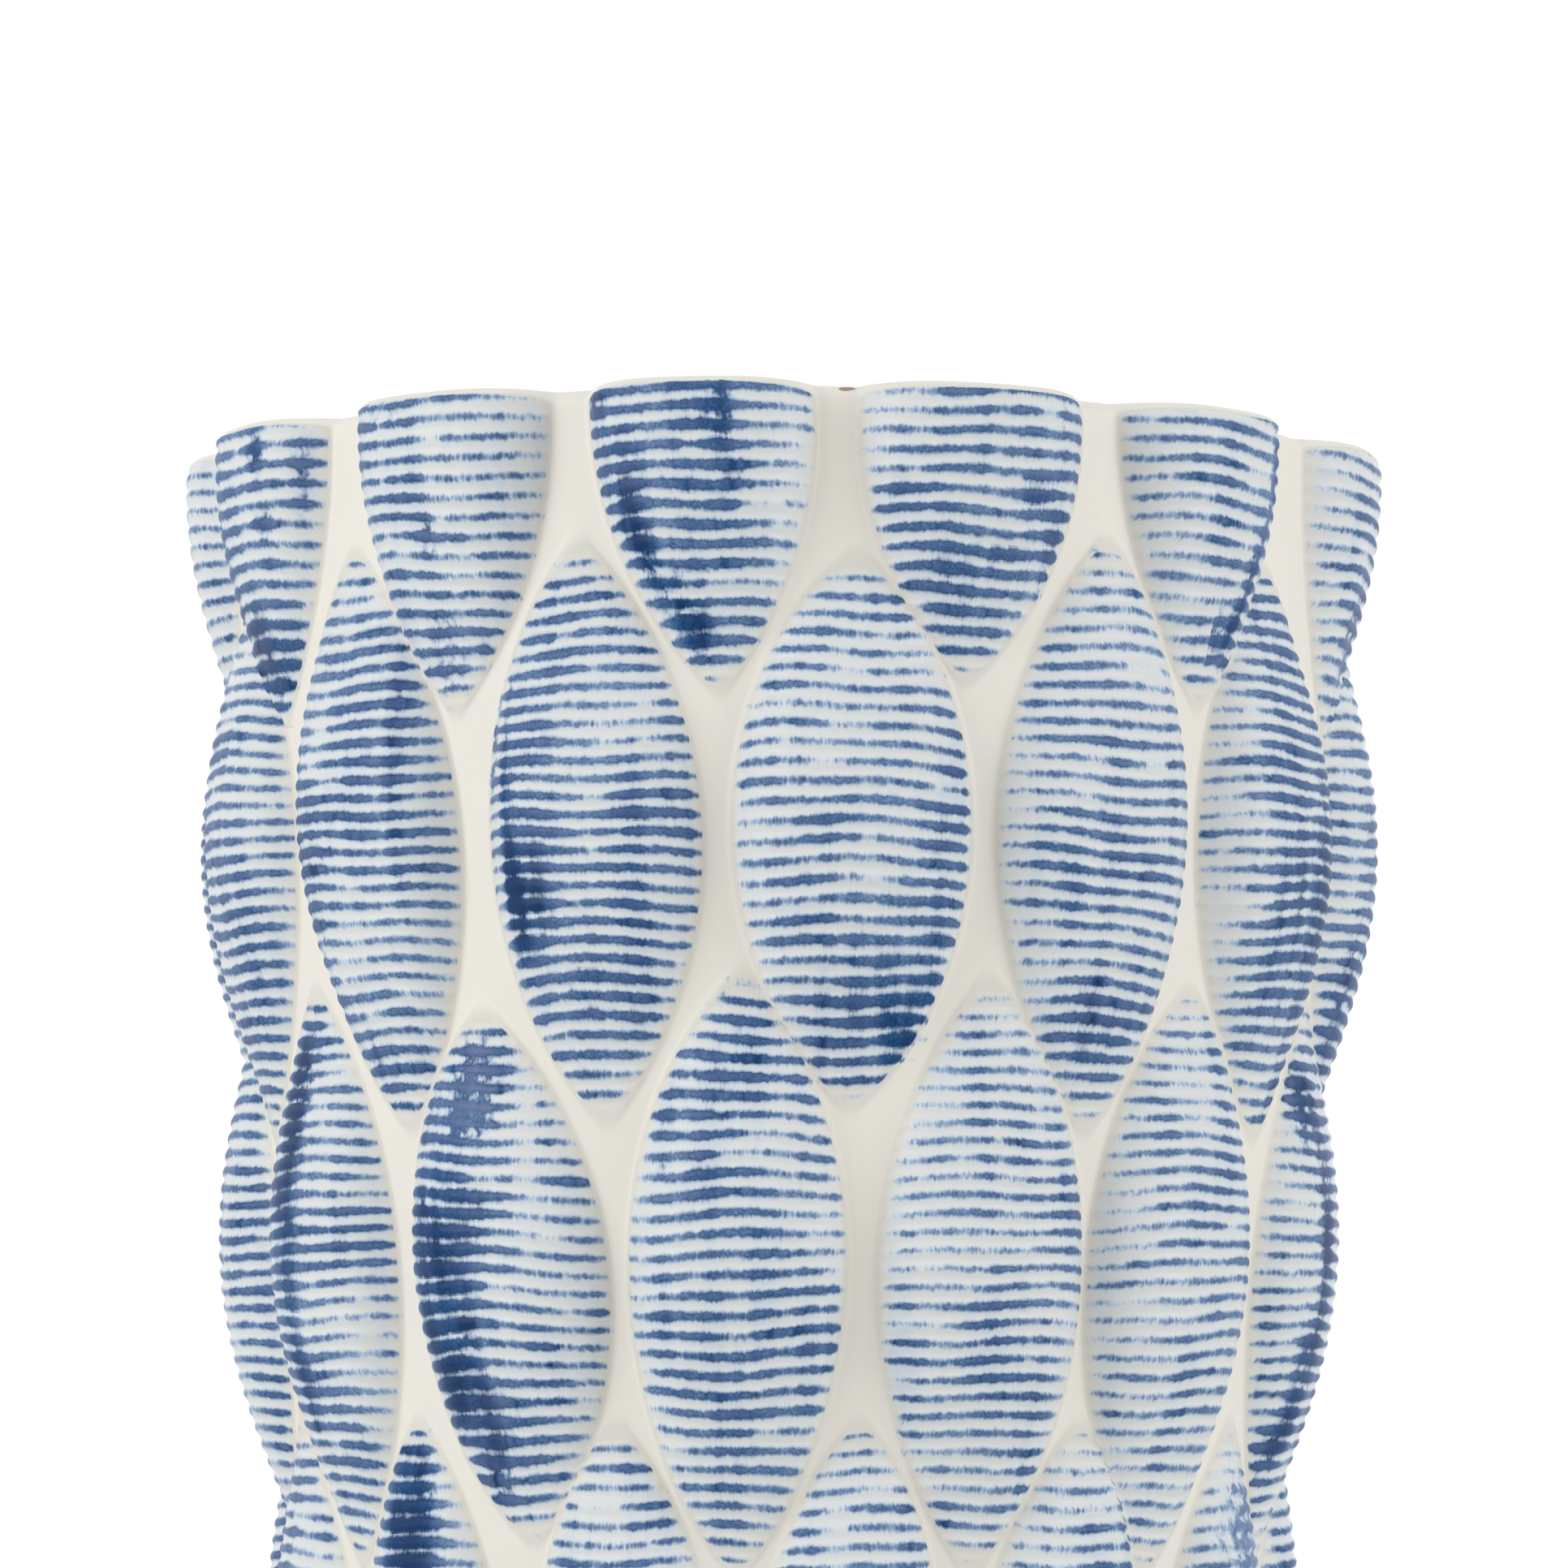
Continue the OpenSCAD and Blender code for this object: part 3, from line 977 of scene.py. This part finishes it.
def grain(x, y, z, detail=2.0):
    """Cloudy noise at a place made of three wires: about 0 in the middle, mostly from -1 to 1."""
    place = Wire(x.tree, put(x.tree, "ShaderNodeCombineXYZ", {"X": x, "Y": y, "Z": z}).outputs[0])
    cloud = put(x.tree, "ShaderNodeTexNoise", {"Vector": place, "Scale": 1.0, "Detail": detail, "Roughness": 0.5})
    return Wire(x.tree, cloud.outputs["Fac"]) * NOISE_GAIN - NOISE_GAIN / 2


def blend(share, first, second):
    """One colour turning into another."""
    # A Mix node has sockets for every kind of data, and numbers 6 and 7 take its two colours
    node = put(share.tree, "ShaderNodeMix", {"Factor": share, 6: first, 7: second}, data_type="RGBA")
    return Wire(share.tree, node.outputs[2])


def ramp(value, stops):
    """A colour picked by a value from a row of (place, colour) stops."""
    node = put(value.tree, "ShaderNodeValToRGB", {"Fac": value})
    band = node.color_ramp.elements
    while len(band) < len(stops):
        band.new(0.5)
    for element, (place, shade) in zip(band, stops):
        element.position, element.color = place, shade
    return Wire(value.tree, node.outputs["Color"])


def xyz(wire):
    """The three parts of a vector."""
    parts = put(wire.tree, "ShaderNodeSeparateXYZ", {0: wire})
    return [Wire(wire.tree, parts.outputs[axis]) for axis in "XYZ"]


print(f"noise is spread {NOISE_GAIN} times")

# %% [markdown]
# ## Node groups
#
# An effect that several materials share is a node group. It is built once and placed in each material.

# %% Make and place groups
NUMBER, VECTOR, SHADE = "NodeSocketFloat", "NodeSocketVector", "NodeSocketColor"


def node_group(name, inputs, outputs):
    """An empty group, its inputs as wires by name, and a function that fills its outputs."""
    tree = bpy.data.node_groups.new(name, "ShaderNodeTree")
    for direction, sockets in (("INPUT", inputs), ("OUTPUT", outputs)):
        for socket, kind in sockets.items():
            tree.interface.new_socket(socket, in_out=direction, socket_type=kind)
    entry = tree.nodes.new("NodeGroupInput")
    leave = tree.nodes.new("NodeGroupOutput")

    def fill(**results):
        for socket, wire in results.items():
            tree.links.new(wire.socket, leave.inputs[socket])
    return tree, {socket: Wire(tree, entry.outputs[socket]) for socket in inputs}, fill


def place_group(tree, group, **sockets):
    """Places a group in a material; its outputs come back as wires by name."""
    made = put(tree, "ShaderNodeGroup", sockets, node_tree=group)
    return {output.name: Wire(tree, output) for output in made.outputs}


print("group sockets:", NUMBER, VECTOR, SHADE)

# %% [markdown]
# ## The white glaze
#
# Tin glaze isn't one flat white. Over the leaves it is thin and looks cool, and where it has run together in the
# valleys it is thick and creamy. The valleys' white is also made lighter, as painted light that offsets their shade.
# The corners along a leaf's outline are painted darker and greyer, as painted shade. Fine cloudiness and faint pits
# break up its gloss. In one place of the rim a chip shows the red clay. Leaves and wall share this effect, so it is a
# node group.

# %% The glaze group
CHIP_PLACE = (8.7, -87.9, 259.6)
CHIP_SIZE = (1.3, 1.6, 0.5)

glaze_group, at, fill_outputs = node_group(
    "white_glaze_effect",
    {"Place": VECTOR, "Relief": NUMBER},
    {"Shade": SHADE, "Roughness": NUMBER, "Surface": NUMBER},
)
x, y, z = xyz(at["Place"])
clouds = grain(x * 90, y * 90, z * 90, detail=3.0)
pits = grain(x * 900, y * 900, z * 900)
# Thick, creamy glaze in the valleys; their white is also lighter than the leaves', as painted light against their shade
pooled_glaze_and_painted_light = 1 - (at["Relief"] + 0.15 * clouds).step(-0.6, 2.6)
white = blend(pooled_glaze_and_painted_light, colour(220, 223, 223), colour(234, 231, 221))
# Painted shade: the corners along a leaf's outline are tinted darker and greyer
corner = at["Relief"].step(-0.9, 0.2) * (1 - at["Relief"].step(0.4, 1.8))
white = blend(corner * 0.40, white, colour(204, 199, 186))
white = blend(clouds.step(-1, 2.5) * 0.25, white, colour(226, 224, 217))
off_x, off_y, off_z = [
    ((part / MM - middle) / size).maths("POWER", 2.0)
    for part, middle, size in zip((x, y, z), CHIP_PLACE, CHIP_SIZE)
]
chip = 1 - (off_x + off_y + off_z + pits * 0.2).step(0.7, 1.1)
white = blend(chip, white, colour(172, 132, 112))
fill_outputs(Shade=white, Roughness=clouds * 0.02 + 0.36, Surface=clouds * 0.3 + pits * 0.05)
print(f"{glaze_group.name}: {len(glaze_group.nodes)} nodes")

# %% [markdown]
# ## Blue brushed over the ribs
#
# A nearly dry brush was drawn along each leaf. It left blue on the crests: thin, broken lines where it was dry, broad
# ones where it was wet, and closed patches where a dab filled the grooves too. Blue has bled a little into the glaze
# beside the lines, and a faint wash of it lies over some columns of a leaf.
#
# The height of the crest, from 0 in a groove to 1 on top, is compared with a threshold. More load lowers the threshold
# and so widens the line. Noise of several sizes stands for the hand: it swells single lines, streaks the leaf from top
# to bottom, and roughens the lines' edges. Where the blue lies thin, it has dried darker at a line's edge than inside.

# %% The brushwork group
paint_group, at, fill_outputs = node_group(
    "brushed_blue_effect",
    {"Comb": VECTOR, "Load": NUMBER, "Fill": NUMBER, "Relief": NUMBER, "Seed": NUMBER},
    {"Cover": NUMBER, "Blue": SHADE, "Bleed": NUMBER},
)
across, rib, _ = xyz(at["Comb"])
seed = at["Seed"] * 90
line = rib.maths("ROUND")
crest = (rib * (2 * math.pi)).maths("COSINE") * 0.5 + 0.5

# Noise along single lines, down the leaf, over patches of it, at the lines' edges, and as fine grain
swell = grain(across * 0.11, line * 5.3, seed)
column = grain(across * 0.28, rib * 0.05, seed + 7)
patch = grain(across * 0.09, rib * 0.14, seed + 11, detail=1.0)
wobble = grain(across * 0.55, rib * 1.6, seed + 3)
bristle = grain(across * 2.4, rib * 2.0, seed + 13)
speck = grain(across * 2.4, rib * 6.5, seed + 9)
blot = grain(across * 0.33, line * 2.3, seed + 21).step(0.7, 1.7)

# Where the brush has left blue: above zero on the lines, and in the grooves that a dab has filled
press = at["Load"] + swell * 0.095 + column * 0.065 + patch * 0.07
dry = (0.44 - press).step(0.0, 0.25)
ends = 1 - at["Relief"].step(0.3, 2.4)
lifted = (swell * -1 - 0.9).step(0.0, 0.7)
threshold = 1.435 - press * 1.5 + ends * 0.36 + lifted * 0.22
above = crest + wobble * 0.10 + bristle * (dry * 0.09 + 0.08) - threshold
on_leaf = at["Relief"].step(0.15, 0.60)
broken = at["Fill"] + crest * 0.16 + wobble * 0.12 + column * 0.09 + bristle * 0.06 - 0.58
near_leaf = at["Relief"].step(-1.0, -0.2)
wet = (above + on_leaf - 1).maths("MAXIMUM", broken * 2 + near_leaf - 1)
washed = (column * 0.6 + patch * 0.5).step(0.2, 1.5) * at["Relief"].step(0.4, 2.0)

# How dark the blue is
inside = wet.step(0.10, 0.34)
heavy = at["Load"].step(0.55, 0.90)
light = inside * (1 - heavy)
depth = at["Load"] * 0.85 + column * 0.14 + patch * 0.13 + swell * 0.06
depth = depth + speck * 0.11 + blot * 0.26 - light * 0.20 + 0.12
inked = ramp(depth, [
    (0.05, colour(134, 162, 195)),
    (0.30, colour(88, 121, 161)),
    (0.50, colour(58, 95, 141)),
    (0.70, colour(22, 74, 124)),
    (0.90, colour(0, 58, 108)),
    (1.00, colour(0, 48, 94)),
])
settled = light * (1 - blot) * (wobble * 0.12 + at["Fill"] * 0.7 + 0.25)
fill_outputs(
    Cover=wet.step(-0.40, 0.24),
    Blue=blend(settled, inked, colour(100, 116, 155)),
    Bleed=(wet + 0.70).step(0.0, 0.70).maths("MAXIMUM", washed * 0.45),
)
print(f"{paint_group.name}: {len(paint_group.nodes)} nodes")

# %% [markdown]
# ## The finish of the leaves
#
# Combed leaves have the glaze and the brushwork. The blue lies over the glaze in the order of the real work: first the
# bleed tints the white, then the blue itself covers it.

# %% Make the leaves' material
GLOSS = 0.20
# Strength of the bump and its depth in metres
GLAZE_BUMP = (0.25, 0.0002)


def new_material(name):
    material = bpy.data.materials.new(name)
    material.use_nodes = True
    tree = material.node_tree
    shader = tree.nodes["Principled BSDF"]
    shader.inputs["Specular IOR Level"].default_value = GLOSS
    place = put(tree, "ShaderNodeTexCoord")
    return material, tree, shader, Wire(tree, place.outputs["Object"])


def wire_up(tree, shader, shade, roughness, surface, strength, depth):
    """Leads a colour, a roughness and a fine bumpiness into a shader."""
    bump = put(tree, "ShaderNodeBump", {"Height": surface, "Strength": strength, "Distance": depth})
    tree.links.new(shade.socket, shader.inputs["Base Color"])
    tree.links.new(roughness.socket, shader.inputs["Roughness"])
    tree.links.new(bump.outputs["Normal"], shader.inputs["Normal"])


def attribute(tree, name):
    return Wire(tree, put(tree, "ShaderNodeAttribute", attribute_name=name).outputs["Fac"])


leaf_glaze, tree, shader, place = new_material("combed_leaf_glaze")
relief = attribute(tree, "relief")
comb = Wire(tree, put(tree, "ShaderNodeUVMap", uv_map="comb").outputs["UV"])
glaze = place_group(tree, glaze_group, Place=place, Relief=relief)
paint = place_group(tree, paint_group, Comb=comb, Load=attribute(tree, "load"), Fill=attribute(tree, "fill"),
                    Relief=relief, Seed=attribute(tree, "seed"))
tinted = blend(paint["Bleed"] * 0.66, glaze["Shade"], colour(168, 196, 228))
painted = blend(paint["Cover"], tinted, paint["Blue"])
wire_up(tree, shader, painted, glaze["Roughness"] + paint["Cover"] * 0.06, glaze["Surface"], *GLAZE_BUMP)
print(f"{leaf_glaze.name}: {len(tree.nodes)} nodes")

# %% [markdown]
# ## The finishes of the turned pieces
#
# Wall and floor have the plain glaze. The foot ring is bare, sandy clay, because a glazed foot would stick to the kiln
# shelf.

# %% Make the plain glaze and the bare clay
plain_glaze, tree, shader, place = new_material("plain_white_glaze")
glaze = place_group(tree, glaze_group, Place=place, Relief=BARE_RELIEF)
wire_up(tree, shader, glaze["Shade"], glaze["Roughness"], glaze["Surface"], *GLAZE_BUMP)

CLAY_BUMP = (0.5, 0.0003)
bare_clay, tree, shader, place = new_material("bare_red_clay")
x, y, z = xyz(place)
sand = grain(x * 1400, y * 1400, z * 1400, detail=3.0)
patches = grain(x * 60, y * 60, z * 60, detail=3.0)
clay = ramp(patches * 0.14 + sand * 0.08 + 0.5, [
    (0.15, colour(150, 96, 70)),
    (0.50, colour(178, 122, 92)),
    (0.85, colour(200, 150, 118)),
])
wire_up(tree, shader, clay, sand * 0.025 + 0.82, sand, *CLAY_BUMP)
print("materials:", leaf_glaze.name, plain_glaze.name, bare_clay.name)

# %% [markdown]
# ## Putting the pieces in the frame
#
# Every piece takes its finish, rides on the vase's one body, and hides the CAD solid that it replaces.

# %% Hand each piece to the frame


def hand_over(piece, node, material):
    piece.data.materials.clear()
    piece.data.materials.append(material)
    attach(piece, "root")
    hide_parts(node)


for node, leaf in leaves.items():
    hand_over(leaf, node, leaf_glaze)
hand_over(wall, "vessel_wall", plain_glaze)
hand_over(floor, "floor_slab", plain_glaze)
hand_over(ring, "foot_ring", bare_clay)
print(f"{len(leaves) + 3} pieces handed over")

# %% [markdown]
# ## The studio floor
#
# The photograph has a white background. A pale round floor carries the vase's shadow and fades out at its edge, so no
# horizon shows.

# %% Build the floor
FLOOR_SIZE = 0.75
FADE_FROM = 0.45

start_fresh()
bpy.ops.mesh.primitive_circle_add(vertices=96, radius=FLOOR_SIZE, fill_type="NGON")
studio_floor = bpy.context.object
studio_floor.name = "studio_floor"
pale = bpy.data.materials.new("pale_floor")
pale.use_nodes = True
tree = pale.node_tree
shader = tree.nodes["Principled BSDF"]
shader.inputs["Base Color"].default_value = colour(238, 238, 236)
shader.inputs["Roughness"].default_value = 0.9
place = Wire(tree, put(tree, "ShaderNodeTexCoord").outputs["Object"])
reach = put(tree, "ShaderNodeVectorMath", {0: place}, operation="LENGTH")
fade = Wire(tree, reach.outputs["Value"]).step(FLOOR_SIZE, FADE_FROM * FLOOR_SIZE)
tree.links.new(fade.socket, shader.inputs["Alpha"])
studio_floor.data.materials.append(pale)
print(f"floor {2 * FLOOR_SIZE:.2f} m across")

# %% [markdown]
# ## Soft light
#
# The photograph's light is very even, a little stronger from the left. The world gives most of it, and two large lamps
# shape the leaves. The camera and the glaze's reflections see the world as plain white, while the surfaces are lit by a
# weaker value of it.

# %% Build the world and the lamps
AMBIENT = 0.58
LAMP_SIZE = 0.9

world = bpy.data.worlds.new("white_studio")
world.use_nodes = True
bpy.context.scene.world = world
tree = world.node_tree
tree.nodes.clear()
rays = put(tree, "ShaderNodeLightPath").outputs
seen = Wire(tree, rays["Is Camera Ray"]).maths("MAXIMUM", Wire(tree, rays["Is Glossy Ray"]))
seen = seen.maths("MAXIMUM", Wire(tree, rays["Is Transmission Ray"]))
sky = put(tree, "ShaderNodeBackground", {"Color": (1, 1, 1, 1), "Strength": seen * (1 - AMBIENT) + AMBIENT})
tree.links.new(sky.outputs[0], put(tree, "ShaderNodeOutputWorld").inputs["Surface"])


def soft_lamp(name, place, power):
    """A large square lamp that faces the middle of the vase."""
    bpy.ops.object.light_add(type="AREA", location=place)
    lamp = bpy.context.object
    lamp.name = name
    lamp.data.size = LAMP_SIZE
    lamp.data.energy = power
    aim = lamp.location.copy()
    aim.z -= HEIGHT * MM / 2
    lamp.rotation_euler = aim.to_track_quat("Z", "Y").to_euler()
    print(f"{name}: {power} W")


soft_lamp("left_lamp", (-1.15, -0.75, 0.60), 9.0)
soft_lamp("right_lamp", (1.25, -0.60, 0.60), 7.6)
bpy.context.scene.view_settings.view_transform = "Standard"
